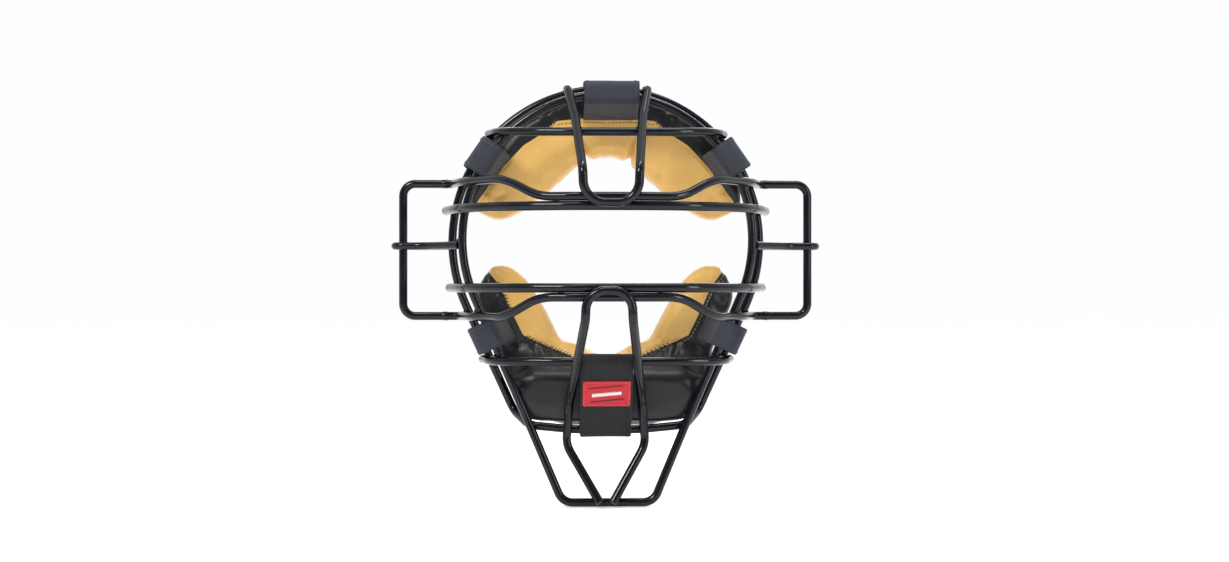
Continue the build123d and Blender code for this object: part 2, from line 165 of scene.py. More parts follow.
class Shader:
    """A node material under construction."""

    def __init__(self, name, roughness, specular):
        self.material = bpy.data.materials.new(name)
        self.material.use_nodes = True
        self.tree = self.material.node_tree
        self.bsdf = self.tree.nodes["Principled BSDF"]
        self.bsdf.inputs["Roughness"].default_value = roughness
        self.bsdf.inputs["Specular IOR Level"].default_value = specular
        self.height = None

    def node(self, kind, inputs=None, **settings):
        return new_node(self.tree, kind, inputs, **settings)

    def coordinates(self, kind="Object"):
        return self.node("ShaderNodeTexCoord").outputs[kind]

    def noise(self, vector, scale, detail=3.0, roughness=0.55):
        inputs = {"Vector": vector, "Scale": scale, "Detail": detail, "Roughness": roughness}
        return self.node("ShaderNodeTexNoise", inputs).outputs["Fac"]

    def cells(self, vector, scale):
        inputs = {"Vector": vector, "Scale": scale}
        return self.node("ShaderNodeTexVoronoi", inputs).outputs["Distance"]

    def bands(self, vector, period, direction, wobble):
        inputs = {"Vector": vector, "Scale": math.tau / 20 / period}
        inputs.update({"Distortion": wobble, "Detail Scale": 3.0})
        return self.node("ShaderNodeTexWave", inputs, bands_direction=direction).outputs["Fac"]

    def turned(self, vector, degrees):
        inputs = {"Vector": vector, "Rotation": (0, 0, math.radians(degrees))}
        return self.node("ShaderNodeMapping", inputs).outputs["Vector"]

    def maths(self, operation, a, b):
        return self.node("ShaderNodeMath", {0: a, 1: b}, operation=operation).outputs[0]

    def ramp(self, factor, stops):
        made = self.node("ShaderNodeValToRGB", {"Fac": factor})
        elements = made.color_ramp.elements
        while len(elements) < len(stops):
            elements.new(0.5)
        for element, (place, colour) in zip(elements, stops):
            element.position = place
            element.color = (*colour, 1)
        return made.outputs["Color"]

    def multiplied(self, factor, a, b):
        inputs = {0: factor, 6: a, 7: b}
        made = self.node("ShaderNodeMix", inputs, data_type="RGBA", blend_type="MULTIPLY")
        return made.outputs[2]

    def colour(self, socket):
        self.tree.links.new(socket, self.bsdf.inputs["Base Color"])

    def roughness(self, factor, low, high):
        made = self.node("ShaderNodeMapRange", {"Value": factor, "To Min": low, "To Max": high})
        self.tree.links.new(made.outputs["Result"], self.bsdf.inputs["Roughness"])

    def bump(self, height, strength, distance):
        inputs = {"Height": height, "Strength": strength, "Distance": distance}
        if self.height:
            inputs["Normal"] = self.height
        self.height = self.node("ShaderNodeBump", inputs).outputs["Normal"]
        self.tree.links.new(self.height, self.bsdf.inputs["Normal"])

    def set(self, **sockets):
        for key, value in sockets.items():
            self.bsdf.inputs[key.replace("_", " ")].default_value = value


def coated_wire():
    """Steel wire dipped in glossy black vinyl: a soft skin with faint runs and dulled patches."""
    shader = Shader("coated_wire", 0.25, 0.1)
    place = shader.coordinates()
    clouds = shader.noise(place, 60, 4)
    runs = shader.noise(place, 260, 2)
    scuffs = shader.noise(place, 900, 5, 0.7)
    tint = shader.ramp(clouds, [(0.3, (0.0022, 0.0028, 0.0045)), (0.7, (0.005, 0.006, 0.010))])
    shader.colour(tint)
    shader.roughness(scuffs, 0.16, 0.34)
    shader.bump(runs, 0.12, 0.25 * MM)
    shader.bump(scuffs, 0.06, 0.1 * MM)
    shader.set(Coat_Weight=0.35, Coat_Roughness=0.05)
    return shader.material


def tan_leather():
    """Split cowhide: warm tan, pebbled, darker in the hollows of its grain."""
    shader = Shader("tan_leather", 0.5, 0.4)
    place = shader.coordinates()
    clouds = shader.noise(place, 28, 4)
    mottle = shader.noise(place, 170, 5, 0.65)
    grain = shader.cells(place, 1150)
    pebble = shader.cells(shader.turned(place, 31), 640)
    pores = shader.noise(place, 2600, 3)
    tans = [(0.25, (0.66, 0.395, 0.105)), (0.5, (0.71, 0.435, 0.125)), (0.8, (0.76, 0.48, 0.150))]
    base = shader.ramp(clouds, tans)
    speckle = shader.ramp(mottle, [(0.3, (0.90, 0.88, 0.84)), (0.7, (1.0, 1.0, 1.0))])
    hollows = shader.ramp(grain, [(0.1, (1.0, 1.0, 1.0)), (0.85, (0.83, 0.78, 0.70))])
    toned = shader.multiplied(0.6, base, speckle)
    shader.colour(shader.multiplied(0.55, toned, hollows))
    shader.roughness(mottle, 0.34, 0.52)
    shader.bump(shader.noise(place, 110, 3), 0.30, 0.5 * MM)
    shader.bump(pebble, 0.22, 0.16 * MM)
    shader.bump(grain, 0.30, 0.10 * MM)
    shader.bump(pores, 0.10, 0.05 * MM)
    shader.set(Sheen_Weight=0.08, Sheen_Roughness=0.4)
    return shader.material


def black_vinyl():
    """Embossed satin upholstery vinyl."""
    shader = Shader("black_vinyl", 0.35, 0.4)
    place = shader.coordinates()
    clouds = shader.noise(place, 45, 4)
    grain = shader.cells(place, 1300)
    shader.colour(
        shader.ramp(clouds, [(0.3, (0.0045, 0.0045, 0.006)), (0.75, (0.010, 0.010, 0.013))])
    )
    shader.roughness(shader.noise(place, 240, 4), 0.30, 0.45)
    shader.bump(shader.noise(place, 90, 3), 0.20, 0.5 * MM)
    shader.bump(grain, 0.28, 0.09 * MM)
    return shader.material


def ribbed_fabric(name, dark, light, period, tilt):
    """Woven strap fabric: a diagonal rib over a plain weave, with a lint-like fuzz."""
    shader = Shader(name, 0.85, 0.3)
    flat = shader.coordinates("UV")
    place = shader.coordinates()
    rib = shader.bands(shader.turned(flat, tilt), period, "X", 0.4)
    weft = shader.bands(flat, period * 0.55, "Y", 0.6)
    warp = shader.bands(flat, period * 0.55, "X", 0.6)
    weave = shader.maths("MULTIPLY", weft, warp)
    cloth = shader.maths(
        "ADD", shader.maths("MULTIPLY", rib, 0.6), shader.maths("MULTIPLY", weave, 0.4)
    )
    tone = shader.ramp(cloth, [(0.15, dark), (0.85, light)])
    wear = [(0.35, (0.86, 0.86, 0.88)), (0.7, (1.08, 1.08, 1.1))]
    worn = shader.ramp(shader.noise(place, 120, 5), wear)
    shader.colour(shader.multiplied(0.7, tone, worn))
    shader.roughness(cloth, 0.92, 0.74)
    shader.bump(cloth, 0.75, 0.22 * MM)
    shader.bump(shader.noise(place, 2400, 3), 0.35, 0.12 * MM)
    shader.set(Sheen_Weight=0.08, Sheen_Roughness=0.5)
    return shader.material


def woven_label():
    """A damask label: fine cross-woven satin."""
    shader = Shader("woven_label", 0.62, 0.35)
    place = shader.coordinates()
    warp = shader.bands(place, 0.45 * MM, "X", 0.5)
    weft = shader.bands(place, 0.45 * MM, "Z", 0.5)
    weave = shader.maths("MULTIPLY", warp, weft)
    shader.colour(shader.ramp(weave, [(0.1, (0.38, 0.006, 0.014)), (0.8, (0.66, 0.016, 0.032))]))
    shader.bump(weave, 0.6, 0.12 * MM)
    shader.set(Sheen_Weight=0.2)
    return shader.material


def thread(name, dark, light):
    """Twisted sewing thread."""
    shader = Shader(name, 0.55, 0.4)
    place = shader.coordinates()
    twist = shader.bands(shader.turned(place, 35), 0.5 * MM, "DIAGONAL", 0.8)
    shader.colour(shader.ramp(twist, [(0.2, dark), (0.8, light)]))
    shader.bump(twist, 0.5, 0.08 * MM)
    return shader.material


def studio_floor():
    shader = Shader("studio_floor", 0.9, 0.1)
    cloud = shader.noise(shader.coordinates(), 3, 2)
    shader.colour(shader.ramp(cloud, [(0.3, (0.92, 0.92, 0.92)), (0.7, (0.95, 0.95, 0.95))]))
    shader.set(Emission_Color=(1, 1, 1, 1), Emission_Strength=0.3)
    return shader.material


WIRE = coated_wire()
LEATHER = tan_leather()
VINYL = black_vinyl()
TAB_CLOTH = ribbed_fabric("tab_fabric", (0.015, 0.017, 0.024), (0.058, 0.062, 0.082), 0.95 * MM, 38)
CHIN_CLOTH = ribbed_fabric("chin_fabric", (0.006, 0.006, 0.007), (0.020, 0.020, 0.022), 0.8 * MM, 0)
LABEL = woven_label()
BLACK_THREAD = thread("black_thread", (0.006, 0.006, 0.007), (0.03, 0.03, 0.033))
GREY_THREAD = thread("grey_thread", (0.035, 0.036, 0.043), (0.11, 0.11, 0.13))
GOLD_THREAD = thread("gold_thread", (0.45, 0.24, 0.05), (0.78, 0.47, 0.13))
RED_THREAD = thread("red_thread", (0.42, 0.02, 0.03), (0.85, 0.09, 0.10))
WHITE_THREAD = thread("white_thread", (0.55, 0.55, 0.55), (0.85, 0.85, 0.84))

world = bpy.data.worlds.new("studio")
scene.world = world
world.use_nodes = True
sky = world.node_tree
background = sky.nodes["Background"]
direction = new_node(sky, "ShaderNodeTexCoord")
axes = new_node(sky, "ShaderNodeSeparateXYZ", {"Vector": direction.outputs["Generated"]})
dimming = {"From Min": -0.75, "From Max": 0.15, "To Min": 0.16, "To Max": 1.0}
shade = new_node(sky, "ShaderNodeMapRange", {"Value": axes.outputs["Y"], **dimming})
background.inputs["Color"].default_value = (0.985, 0.99, 1.0, 1)
sky.links.new(shade.outputs["Result"], background.inputs["Strength"])


# ---- mesh helpers
def link_mesh(name, mesh, material, body="root"):
    made = placed(name, mesh)
    mesh.materials.clear()
    mesh.materials.append(material)
    if body:
        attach(made, body)
    return made


def smooth(mesh, angle=None):
    mesh.polygons.foreach_set("use_smooth", [True] * len(mesh.polygons))
    if angle:
        mesh.set_sharp_from_angle(angle=math.radians(angle))
    mesh.update()


def mesh_from(bm, name):
    mesh = bpy.data.meshes.new(name)
    bm.to_mesh(mesh)
    bm.free()
    return mesh


def evaluated(holder):
    """The object's mesh with its modifiers applied."""
    bpy.context.view_layer.update()
    graph = bpy.context.evaluated_depsgraph_get()
    return bpy.data.meshes.new_from_object(holder.evaluated_get(graph))


def point_array(vertices):
    return np.array([vertex.co for vertex in vertices])


def applied(mesh, modifiers):
    """A mesh after some modifiers, given as (type, settings)."""
    holder = placed("working", mesh)
    for kind, settings in modifiers:
        modifier = holder.modifiers.new(kind.lower(), kind)
        for key, value in settings.items():
            setattr(modifier, key, value)
    result = evaluated(holder)
    bpy.data.objects.remove(holder)
    return result


ONCE_FINER = [("SUBSURF", {"levels": 1, "render_levels": 1})]


def skinned(bm, rings):
    """Join a row of rings into one closed skin with flat ends."""
    for ring, following in zip(rings, rings[1:]):
        for step in range(len(ring)):
            other = (step + 1) % len(ring)
            bm.faces.new((ring[step], ring[other], following[other], following[step]))
    bm.faces.new(list(reversed(rings[0])))
    bm.faces.new(rings[-1])


def ahead_at(points, index):
    """The direction of a row of points at one of them."""
    return (points[min(index + 1, len(points) - 1)] - points[max(index - 1, 0)]).normalized()


def distances(points):
    """How far along a row each of its points lies."""
    run = [0.0]
    for a, b in zip(points, points[1:]):
        run.append(run[-1] + (b - a).length)
    return run


def tube(bm, points, radius, sides=6):
    """A thread: a round tube through a row of points, thinner at its ends."""
    rings = []
    last = len(points) - 1
    for index, point in enumerate(points):
        ahead = ahead_at(points, index)
        side = ahead.cross(Vector((0.31, 0.17, 0.93))).normalized()
        up = ahead.cross(side)
        size = radius * (0.55 if index in (0, last) else 1.0)
        ring = []
        for step in range(sides):
            turn = math.tau * step / sides
            ring.append(bm.verts.new(point + (side * math.cos(turn) + up * math.sin(turn)) * size))
        rings.append(ring)
    skinned(bm, rings)


def row_length(points):
    return distances(points)[-1]


def along(points, distance):
    """The point at a distance along a row of points."""
    left = distance
    for a, b in zip(points, points[1:]):
        run = (b - a).length
        if left <= run and run > 0:
            return a.lerp(b, left / run)
        left -= run
    return points[-1].copy()


def running_stitches(bm, points, normals, pitch=2.6, share=0.68, radius=0.28):
    """Stitches in a line: each dips into the cloth at both of its ends."""
    total = row_length(points)
    number = max(1, int(total / (pitch * MM)))
    step = total / number
    for index in range(number):
        stitch = []
        for part in range(6):
            place = (index + 0.5 + share * (part / 5 - 0.5)) * step
            middle = along(points, place)
            normal = along(normals, place / total * row_length(normals))
            lift = math.sin(math.pi * part / 5) * 0.42 - 0.18
            stitch.append(middle + normal.normalized() * lift * MM)
        tube(bm, stitch, radius * MM)


# ---- wires
for name in WIRES:
    wire = NODES[name]
    for slot in wire.material_slots:
        slot.material = WIRE


def dense_mesh(node, step):
    """A copy of a CAD node's mesh with its long edges divided."""
    bm = bmesh.new()
    bm.from_mesh(NODES[node].data)
    for _ in range(7):
        long_edges = [edge for edge in bm.edges if edge.calc_length() > step]
        if not long_edges:
            break
        bmesh.ops.subdivide_edges(bm, edges=long_edges, cuts=1)
    return bm


wire_points = {}
wire_trees = {}
wire_lookup = {}
for name in WIRES:
    dense = dense_mesh(name, 3.2 * MM)
    wire_points[name] = point_array(dense.verts)
    wire_trees[name] = BVHTree.FromBMesh(dense)
    dense.free()
    lookup = KDTree(len(wire_points[name]))
    for index, point in enumerate(wire_points[name]):
        lookup.insert(point, index)
    lookup.balance()
    wire_lookup[name] = lookup


def wire_direction(name, place):
    """The direction in which a wire runs near a point."""
    near = np.array([point for point, _, _ in wire_lookup[name].find_range(place, 6.5 * MM)])
    spread = np.cov((near - near.mean(axis=0)).T)
    return Vector(np.linalg.eigh(spread)[1][:, -1]).normalized()


def contacts(first, second, reach, apart):
    """Places where two wires touch, as (place on the first, place on the second)."""
    points, others = wire_points[first], wire_points[second]
    low = np.maximum(points.min(axis=0), others.min(axis=0)) - reach
    high = np.minimum(points.max(axis=0), others.max(axis=0)) + reach
    shared = points[((points >= low) & (points <= high)).all(axis=1)]
    close = []
    for point in shared:
        found, _, _, distance = wire_trees[second].find_nearest(Vector(point), reach)
        if found is not None:
            close.append((distance, Vector(point), found))
    close.sort(key=lambda item: item[0])
    kept = []
    for _, point, found in close:
        if all((point - other).length > apart for other, _ in kept):
            kept.append((point, found))
    return kept


def weld_bead(bm, point, other, first, second, seed):
    """A coated weld between two wires: it hugs each wire along that wire's own direction."""
    normal = (other - point).normalized() if (other - point).length > 1e-6 else Vector((0, -1, 0))
    middle = (point + other) / 2
    run_a = wire_direction(first, middle)
    run_b = wire_direction(second, middle)
    run_a = (run_a - normal * run_a.dot(normal)).normalized()
    run_b = (run_b - normal * run_b.dot(normal)).normalized()
    side = normal.cross(run_a).normalized()
    parallel = abs(run_a.dot(run_b))
    rings = []
    rows, columns = 9, 20
    for row in range(rows):
        height = -1 + 2 * row / (rows - 1)
        waist = 1 - 0.18 * (1 - height * height)
        ring = []
        for column in range(columns):
            turn = math.tau * column / columns
            ray = run_a * math.cos(turn) + side * math.sin(turn)
            along_a = abs(ray.dot(run_a))
            along_b = abs(ray.dot(run_b))
            reach_a = max(0.0, 0.35 - height) * along_a ** 2
            reach_b = max(0.0, 0.35 + height) * along_b ** 2
            size = (2.55 - 0.75 * parallel) * waist + 1.05 * (reach_a + reach_b)
            size *= math.sqrt(max(0.0, 1 - (abs(height) ** 6) * 0.75))
            wobble = noise.noise(Vector((turn, height * 2, seed * 3.7))) * 0.14
            lift = height * (1.9 if abs(height) < 1 else 2.1)
            ring.append(bm.verts.new(middle + (ray * size * (1 + wobble) + normal * lift) * MM))
        rings.append(ring)
    skinned(bm, rings)


WELD_REACH = 1.3 * MM  # wires closer than this are welded
WELD_APART = 16 * MM  # least distance between two welds of the same two wires
DOUBLED_APART = 40 * MM  # the same where an eye bar and a wing bar run side by side
beads = bmesh.new()
bead_count = 0
for index, first in enumerate(WIRES):
    for second in WIRES[index + 1:]:
        doubled = first.endswith("eye_bar") and second.endswith("wing_bar")
        butted = first.endswith("wing_bar") and second.endswith("guard")
        if butted:
            continue
        apart = DOUBLED_APART if doubled else WELD_APART
        for point, other in contacts(first, second, WELD_REACH, apart):
            weld_bead(beads, point, other, first, second, bead_count)
            bead_count += 1


def collar(bm, middle, ahead, profile, seed):
    """A turned form round a wire's line, from (distance along it, radius) pairs in mm."""
    side = ahead.cross(Vector((0.2, 0.9, 0.3))).normalized()
    up = ahead.cross(side)
    rings = []
    for distance, radius in profile:
        ring = []
        for step in range(24):
            turn = math.tau * step / 24
            lump = 1 + 0.025 * noise.noise(Vector((math.cos(turn), math.sin(turn), seed + distance)))
            ray = side * math.cos(turn) + up * math.sin(turn)
            ring.append(bm.verts.new(middle + (ahead * distance + ray * radius * lump) * MM))
        rings.append(ring)
    skinned(bm, rings)


THINNEST, THICKEST = 2.6, 3.6  # bounds of a wire's radius in mm


def wire_ends(name):
    """The flat ends of a wire, as (middle, outward direction, radius in mm). An end is a group
    of faces in one plane, about as large as a wire is thick."""
    groups = {}
    for polygon in NODES[name].data.polygons:
        normal = polygon.normal
        offset = normal.dot(polygon.center) / MM
        key = tuple(round(value, 2) for value in normal) + (round(offset, 1),)
        groups.setdefault(key, []).append(polygon)
    ends = []
    for group in groups.values():
        area = sum(polygon.area for polygon in group)
        radius = math.sqrt(area / math.pi) / MM
        if not THINNEST < radius < THICKEST:
            continue
        middle = sum((polygon.center * polygon.area for polygon in group), Vector()) / area
        if all((polygon.center - middle).length < THICKEST * MM for polygon in group):
            ends.append((middle, group[0].normal.copy(), radius))
    return ends


BUTT_X = 118.5 * MM  # where the wing bars are butted to the ear guards
GUARD_RADIUS = 3.1 * MM
BUTT_PROFILE = [
    (-3.4, 2.95), (-2.6, 3.14), (-1.4, 3.34), (0, 3.46), (1.4, 3.34), (2.6, 3.14), (3.4, 2.95),
]
for side in ("left", "right"):
    low, high = (Vector(corner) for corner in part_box(f"{side}_ear_guard"))
    inner_x = high.x if side == "left" else low.x
    for z in (low.z + GUARD_RADIUS, high.z - GUARD_RADIUS):
        middle = Vector((inner_x, (low.y + high.y) / 2, z))
        collar(beads, middle, Vector((1, 0, 0)), BUTT_PROFILE, z * 90)
end_count = 0
for name in WIRES:
    for middle, ahead, radius in wire_ends(name):
        butted = abs(abs(middle.x) - BUTT_X) < 0.6 * MM and abs(ahead.x) > 0.9
        if butted:
            continue
        cap = [(-1.6, radius - 0.1), (-0.8, radius + 0.05), (0, radius - 0.02), (0.5, radius * 0.86)]
        cap += [(0.85, radius * 0.6), (1.0, radius * 0.25)]
        collar(beads, middle, ahead, cap, end_count)
        end_count += 1
bmesh.ops.recalc_face_normals(beads, faces=beads.faces)
bead_mesh = applied(mesh_from(beads, "weld_beads"), ONCE_FINER)
smooth(bead_mesh)
weld_beads = link_mesh("weld_beads", bead_mesh, WIRE)


# ---- padded pads
def remeshed(mesh, voxel, rounds):
    """The same form on an even mesh with no folds through itself, smoothed a number of times."""
    remesh = ("REMESH", {"mode": "VOXEL", "voxel_size": voxel})
    return applied(mesh, [remesh, ("SMOOTH", {"factor": 0.5, "iterations": rounds})])


def foam_shape(node, softening):
    """The CAD foam as a welded, evenly meshed form with softened corners."""
    bm = bmesh.new()
    bm.from_mesh(NODES[node].data)
    bmesh.ops.remove_doubles(bm, verts=bm.verts, dist=1e-5)
    return remeshed(mesh_from(bm, "foam_shape"), 4 * MM, softening)


def inflated(mesh, cap):
    """The form blown up by cloth simulation, with no point moved further than cap."""
    start = point_array(mesh.vertices)
    holder = placed("inflating", mesh)
    cloth = holder.modifiers.new("cloth", "CLOTH")
    settings = cloth.settings
    settings.quality = 6
    settings.mass = 0.25
    settings.tension_stiffness = 14
    settings.compression_stiffness = 14
    settings.shear_stiffness = 5
    settings.bending_stiffness = 0.6
    settings.use_pressure = True
    settings.uniform_pressure_force = 4
    settings.effector_weights.gravity = 0
    cloth.point_cache.frame_start = 1
    cloth.point_cache.frame_end = 20
    for step in range(1, 21):
        scene.frame_set(step)
    result = evaluated(holder)
    bpy.data.objects.remove(holder)
    scene.frame_set(1)
    moved = point_array(result.vertices) - start
    length = np.linalg.norm(moved, axis=1, keepdims=True)
    moved *= np.minimum(1, cap / np.maximum(length, 1e-9))
    result.vertices.foreach_set("co", (start + moved).ravel())
    result.update()
    return result


def surface_arrays(mesh):
    """Vertex places in millimetres, and normals."""
    return point_array(mesh.vertices) / MM, np.array([vertex.normal for vertex in mesh.vertices])


def to_row(places, row):
    """Distance in the XZ plane from each place to a row of (x, z) points, on both sides."""
    best = np.full(len(places), 1e9)
    x, z = np.abs(places[:, 0]), places[:, 2]
    for (ax, az), (bx, bz) in zip(row, row[1:]):
        dx, dz = bx - ax, bz - az
        share = np.clip(((x - ax) * dx + (z - az) * dz) / (dx * dx + dz * dz), 0, 1)
        best = np.minimum(best, np.hypot(x - ax - share * dx, z - az - share * dz))
    return best


def past(edge, value):
    """0 where the value is short of the edge, 1 past it, with a soft change between."""
    return 1 / (1 + np.exp((edge - value) / 1.5))


def groove(distance, depth, width):
    """Heights across a furrow whose middle is at distance 0."""
    return -depth * np.exp(-((distance / width) ** 2))


def ripples(places, scale, seed):
    """Smooth noise over a surface."""
    shift = (seed, 0, 0)
    return np.array([noise.noise(Vector(place)) for place in places * scale + shift])


def place_points(mesh, places):
    mesh.vertices.foreach_set("co", (places * MM).ravel())
    mesh.update()


def shaped(mesh, displace, limit):
    """Move the surface along its normals by displace(places), then keep it inside limit."""
    places, normals = surface_arrays(mesh)
    place_points(mesh, limit(places + normals * displace(places)[:, None]))


def surface_of(mesh):
    points = [vertex.co for vertex in mesh.vertices]
    return BVHTree.FromPolygons(points, [face.vertices for face in mesh.polygons])


def zone_prism(outline):
    """The space that the leather takes: a mirrored outline run front to back, joined to a slab
    behind the vinyl's rear edge."""
    ring = [(x, z) for x, z in outline] + [(-x, z) for x, z in reversed(outline)]
    bm = bmesh.new()
    front = [bm.verts.new((x * MM, -60 * MM, z * MM)) for x, z in ring]
    middle = [bm.verts.new((x * MM, COVER_BACK * MM, z * MM)) for x, z in ring]
    bm.faces.new(front)
    bm.faces.new(list(reversed(middle)))
    for index in range(len(ring)):
        after = (index + 1) % len(ring)
        bm.faces.new((front[index], middle[index], middle[after], front[after]))
    bmesh.ops.recalc_face_normals(bm, faces=bm.faces)
    prism = mesh_from(bm, "zone")
    bm = bmesh.new()
    bmesh.ops.create_cube(bm, size=1)
    for vertex in bm.verts:
        vertex.co.x *= 0.5
        vertex.co.z *= 0.6
        vertex.co.y = (vertex.co.y + 0.5) * 0.06 + (COVER_BACK - 0.02) * MM
    slab = placed("slab", mesh_from(bm, "slab"))
    union = {"operation": "UNION", "solver": "EXACT", "object": slab}
    joined = applied(prism, [("BOOLEAN", union)])
    bpy.data.objects.remove(slab)
    return joined


def drawn_out(mesh, nodes, share, low_z):
    """Give back part of the corners that softening took: points below low_z (mm) move a share
    of the way out to the CAD pad's surface."""
    vertices, polygons = [], []
    for node in nodes:
        first = len(vertices)
        vertices += [vertex.co for vertex in NODES[node].data.vertices]
        polygons += [[first + index for index in face.vertices] for face in NODES[node].data.polygons]
    hull = BVHTree.FromPolygons(vertices, polygons)
    for vertex in mesh.vertices:
        weight = min(1.0, max(0.0, (low_z + 10 - vertex.co.z / MM) / 20))
        if weight <= 0:
            continue
        start = vertex.co - vertex.normal * 0.5 * MM
        place, _, _, distance = hull.ray_cast(start, vertex.normal, 14 * MM)
        if place is None:
            continue
        beyond = hull.ray_cast(place + vertex.normal * 0.05 * MM, vertex.normal, 2.2 * MM)[0]
        place = beyond if beyond is not None else place
        vertex.co = vertex.co.lerp(place, share * weight)
    mesh.update()


def sloped_chin(places, _normals):
    """The step from the cheeks' front down to the chin cup's front becomes one padded slope."""
    x, y, z = places.T
    down, across = np.clip(((-42 - z) / 25, (76 - np.abs(x)) / 22), 0, 1)
    down = down * down * (3 - 2 * down)
    across = across * across * (3 - 2 * across)
    wanted = PADS_FRONT + 0.3 - 29.5 * down * across
    weight = np.clip((9 - y) / 5, 0, 1) * ((z > -73) & (z < -39)) * np.clip((z + 73) / 6, 0, 1)
    y = y + 0.85 * weight * (wanted - y)
    return np.column_stack((x, y, z))


def from_centre(x, z):
    """Distance in mm from the rear ring's centre, square to its straight leg."""
    return np.abs(x) * LEG_COS - (z - RING_Z) * LEG_SIN


def filled_cheeks(places, normals):
    """Below the lower tabs the pad's outer wall swells out against the rear ring's legs."""
    x, y, z = places.T
    side = np.sign(x)
    facing = normals[:, 0] * side * LEG_COS - normals[:, 2] * LEG_SIN
    weight = np.clip((facing - 0.3) / 0.4, 0, 1) * np.clip((np.abs(x) - 38) / 8, 0, 1)
    weight *= np.clip((-46 - z) / 10, 0, 1) * np.clip((z + 101) / 12, 0, 1)
    move = 0.9 * weight * np.clip(CHEEK_REACH - from_centre(x, z), 0, 15)
    return np.column_stack((x + side * move * LEG_COS, y, z - move * LEG_SIN))


def filled_arch(places, normals):
    """The upper pad's outer wall swells out against the rear ring."""
    x, y, z = places.T
    radius = np.hypot(x, z - RING_Z)
    facing = (normals[:, 0] * x + normals[:, 2] * (z - RING_Z)) / radius
    weight = np.clip((facing - 0.25) / 0.4, 0, 1) * np.clip((z - 62) / 14, 0, 1)
    reach = 1 + 0.9 * weight * np.clip(ARCH_REACH - radius, 0, 9) / radius
    return np.column_stack((x * reach, y, RING_Z + (z - RING_Z) * reach))


def swollen(mesh, swell):
    """Move the form's points to swell(places, normals)."""
    place_points(mesh, swell(*surface_arrays(mesh)))


def split_pad(name, mesh, outline):
    """Cut a finished pad along its seam into a vinyl cover and a leather lining."""
    zone = placed("zone", zone_prism(outline))
    for part, operation, material, stood_for in (
        ("cover", "DIFFERENCE", VINYL, ["cover"]),
        ("lining", "INTERSECT", LEATHER, ["lining", "foam"]),
    ):
        cut = {"operation": operation, "solver": "EXACT", "object": zone}
        piece_mesh = applied(mesh.copy(), [("BOOLEAN", cut)])
        piece_mesh.polygons.foreach_set("material_index", [0] * len(piece_mesh.polygons))
        smooth(piece_mesh, 50)
        link_mesh(f"{name}_{part}_soft", piece_mesh, material)
        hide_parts(*(f"{name}_{node}" for node in stood_for))
    bpy.data.objects.remove(zone)


def pad_mesh(foam_node, softening):
    mesh = foam_shape(foam_node, softening)
    mesh = inflated(mesh, SOFT_CAP)
    return applied(mesh, ONCE_FINER)


UPPER_SEAM = [
    (0, 124.2), (18, 124.8), (37.6, 123), (44, 117), (50, 112), (61, 105), (71, 94.5),
    (80.5, 84), (89, 72), (95.4, 63.4), (100, 54),
]
LOWER_SEAM = [
    (0, -56), (16, -54.6), (26.6, -50.6), (42, -44.5), (53, -40), (61.4, -35.6), (67.3, -23.7),
    (75.5, -6), (81, 3.7), (89, 13.6), (97, 24),
]


def upper_limit(places):
    """Keep the upper pad behind the rear ring and inside the tails."""
    x, y, z = places.T
    radius = np.hypot(x, z - RING_Z)
    shrink = np.minimum(1, WALL_LIMIT / radius)
    y = np.clip(y, CHEEK_FRONT, PAD_BACK)
    return np.column_stack((x * shrink, y, RING_Z + (z - RING_Z) * shrink))


def upper_folds(places):
    """The upper pad's seam, the two creases at its middle and its folds, as heights in mm."""
    x, y, z = places.T
    radius = np.hypot(x, z - RING_Z)
    front = past(y, PAD_MIDDLE)
    wall = past(98, radius)
    seam = to_row(places, UPPER_SEAM)
    moved = groove(seam, 1.5, 2.3) * front
    moved += groove(np.abs(y - COVER_BACK), 1.1, 1.8) * wall
    moved += 0.55 * np.exp(-(((seam - 4.6) / 2.6) ** 2)) * front
    crease = to_row(places - np.array([1.8, 0, 0]), [(22, 124), (18.5, 108), (14, 88)])
    moved += groove(crease, 4.2, 2.1) + 0.9 * np.exp(-(((crease - 5.5) / 3) ** 2))
    for row, depth, width in (
        ([(38, 123), (47, 133)], 0.9, 2.6),
        ([(34, 124), (37, 136)], 0.6, 2.2),
        ([(42, 119.5), (56, 126)], 0.6, 2.4),
        ([(38, 121), (33, 108)], 0.9, 2.6),
        ([(62, 66), (66, 78)], 1.2, 2.6),
        ([(90, 70), (82, 66), (76, 68)], 2.2, 2.0),
        ([(93, 62), (84, 58)], 1.5, 2.2),
        ([(80, 52), (83, 63)], 1.3, 2.2),
    ):
        moved += groove(to_row(places, row), depth, width) * front
    for row, depth, width in (
        ([(29, 121), (30, 96)], 1.9, 3.0),
        ([(47, 100), (40, 78)], 1.4, 3.4),
        ([(62, 92), (54, 68)], 1.2, 3.6),
        ([(5, 118), (4, 98)], 0.6, 3.2),
        ([(76, 78), (70, 62)], 1.2, 3.2),
    ):
        moved += groove(to_row(places, row), depth, width)
    moved += 0.45 * ripples(places, 0.045, 3.1)
    moved += 0.12 * ripples(places, 0.13, 7.7) * np.exp(-((seam / 9) ** 2))
    return moved


def lower_limit(places):
    """Keep the lower pad behind the rear ring, inside the tails and off the chin bar."""
    x, y, z = places.T
    over = np.maximum(0, from_centre(x, z) - np.where(y < 4.5, PASSING_LIMIT, WALL_LIMIT))
    x = np.sign(x) * (np.abs(x) - over * LEG_COS)
    z = z + over * LEG_SIN
    cheek = (np.abs(x) > 74) | (z > -42)
    front = np.where(cheek, CHEEK_FRONT, CHIN_FRONT)
    return np.column_stack((x, np.clip(y, front, PAD_BACK), z))


